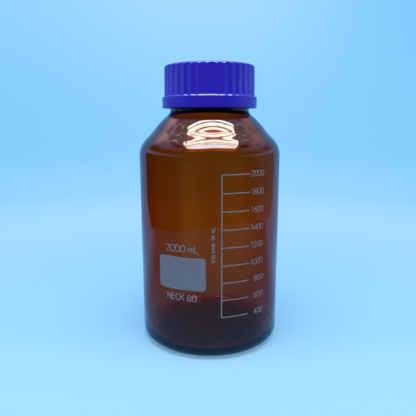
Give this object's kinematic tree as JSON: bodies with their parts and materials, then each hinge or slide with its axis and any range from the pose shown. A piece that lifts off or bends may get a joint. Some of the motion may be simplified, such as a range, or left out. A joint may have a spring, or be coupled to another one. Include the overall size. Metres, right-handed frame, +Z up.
{
  "type": "round wide-mouth laboratory media bottle with screw cap",
  "caption": "Round amber glass media bottle with sloped shoulder, printed volume scale, marking panel, pouring ring and fluted screw cap.",
  "frame": {"origin": "centre of the ring that the bottle stands on, at bench level", "axes": "+Z up the bottle's axis towards the cap; the printed side faces -Y"},
  "size_m": [0.134, 0.134, 0.2616],
  "materials": {
    "amber_glass": "smooth blown borosilicate glass, amber through its thickness",
    "cap_plastic": "satin moulded plastic, deep blue-violet",
    "ring_plastic": "satin moulded plastic, blue-violet",
    "liner_rubber": "matt silicone with a smooth white facing",
    "white_enamel": "fired ceramic print, slightly glossy"
  },
  "bodies": {
    "glass": {"bottle": "amber_glass", "pouring_ring": "ring_plastic"},
    "seal": {"cap_liner": "liner_rubber"},
    "cap": {"screw_cap": "cap_plastic"}
  },
  "joints": [
    {"name": "cap_lift", "type": "slide", "parent": "glass", "child": "seal", "axis": [0, 0, 1], "range_m": [0, 0.0075]},
    {"name": "cap_turn", "type": "hinge", "parent": "seal", "child": "cap", "pos_m": [0, 0, 0.24], "axis": [0, 0, 1], "range_deg": [0, 540]}
  ],
  "couplings": [
    {"joint": "cap_lift", "follows": "cap_turn", "m_per_rad": 0.00079577}
  ]
}
